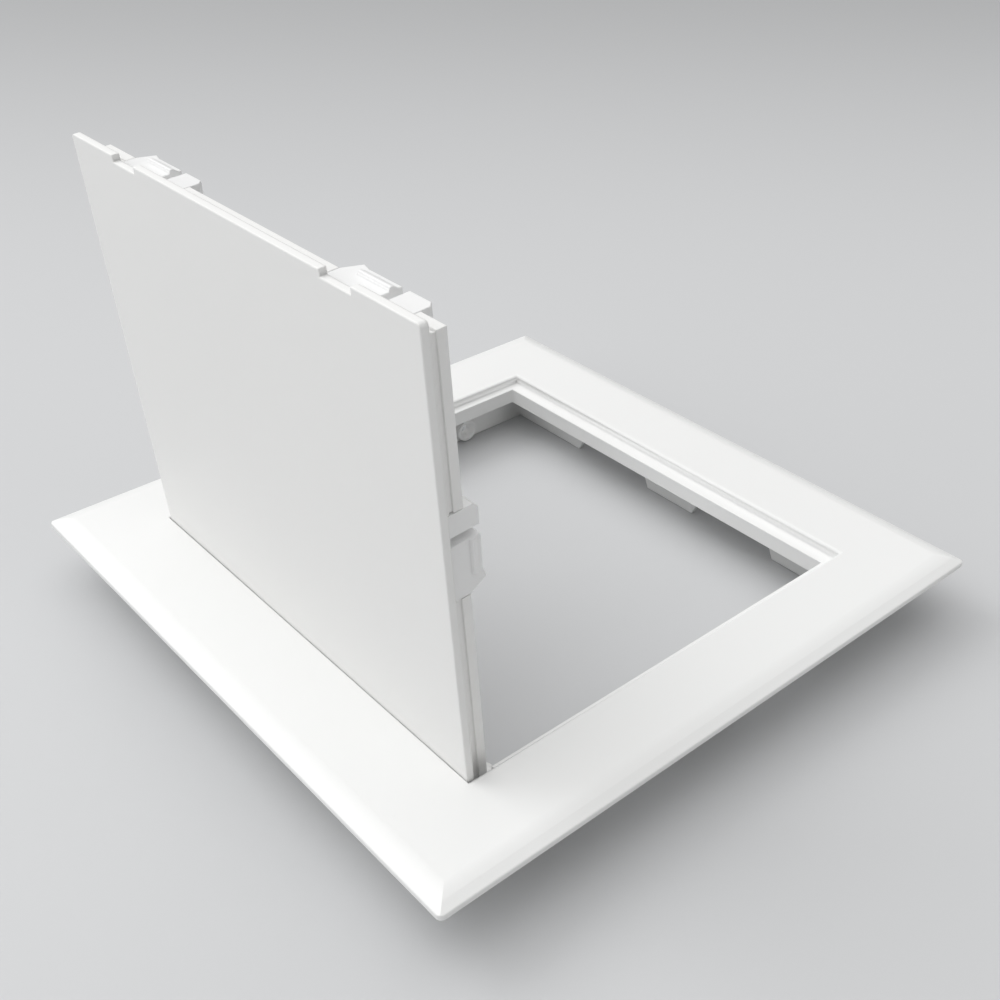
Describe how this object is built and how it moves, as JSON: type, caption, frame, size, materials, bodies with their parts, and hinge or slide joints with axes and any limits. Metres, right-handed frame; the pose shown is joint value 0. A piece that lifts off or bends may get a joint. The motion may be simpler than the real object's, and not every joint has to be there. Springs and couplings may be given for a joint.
{
  "type": "ceiling access panel",
  "caption": "Square plastic ceiling access panel: a bevelled flange frame with a neck for the cut-out and a hinged door that swings open and is held shut by spring catches.",
  "frame": {"origin": "centre of the square frame, at the bottom of the neck's tabs, which it stands on with its face up", "axes": "+Z out of the flange's visible face, +X from the hinge towards the closed door's free edge, +Y along the hinge"},
  "size_m": [0.245, 0.245, 0.1786],
  "materials": {
    "frame_plastic": "white moulded plastic, satin",
    "door_plastic": "white moulded plastic, finely grained",
    "catch_plastic": "white moulded plastic, smooth",
    "pin_plastic": "natural white plastic, smooth"
  },
  "bodies": {
    "frame": {"frame": "frame_plastic"},
    "door": {"door_panel": "door_plastic", "door_back": "door_plastic", "hinge_pin_left": "pin_plastic", "hinge_pin_right": "pin_plastic"},
    "catch_latch_left": {"catch_latch_left": "catch_plastic"},
    "catch_latch_right": {"catch_latch_right": "catch_plastic"},
    "catch_side_left": {"catch_side_left": "catch_plastic"},
    "catch_side_right": {"catch_side_right": "catch_plastic"}
  },
  "joints": [
    {"name": "door_swing", "type": "hinge", "parent": "frame", "child": "door", "pos_m": [-0.07525, 0, 0.0154], "axis": [0, -1, 0], "range_deg": [-93.75, 0]},
    {"name": "catch_latch_left_press", "type": "slide", "parent": "door", "child": "catch_latch_left", "axis": [0.0654, 0, -0.9979], "range_m": [0, 0.0024], "stiffness_N_per_m": 800},
    {"name": "catch_latch_right_press", "type": "slide", "parent": "door", "child": "catch_latch_right", "axis": [0.0654, 0, -0.9979], "range_m": [0, 0.0024], "stiffness_N_per_m": 800},
    {"name": "catch_side_left_press", "type": "slide", "parent": "door", "child": "catch_side_left", "axis": [0, -1, 0], "range_m": [0, 0.0024], "stiffness_N_per_m": 800},
    {"name": "catch_side_right_press", "type": "slide", "parent": "door", "child": "catch_side_right", "axis": [0, 1, 0], "range_m": [0, 0.0024], "stiffness_N_per_m": 800}
  ]
}
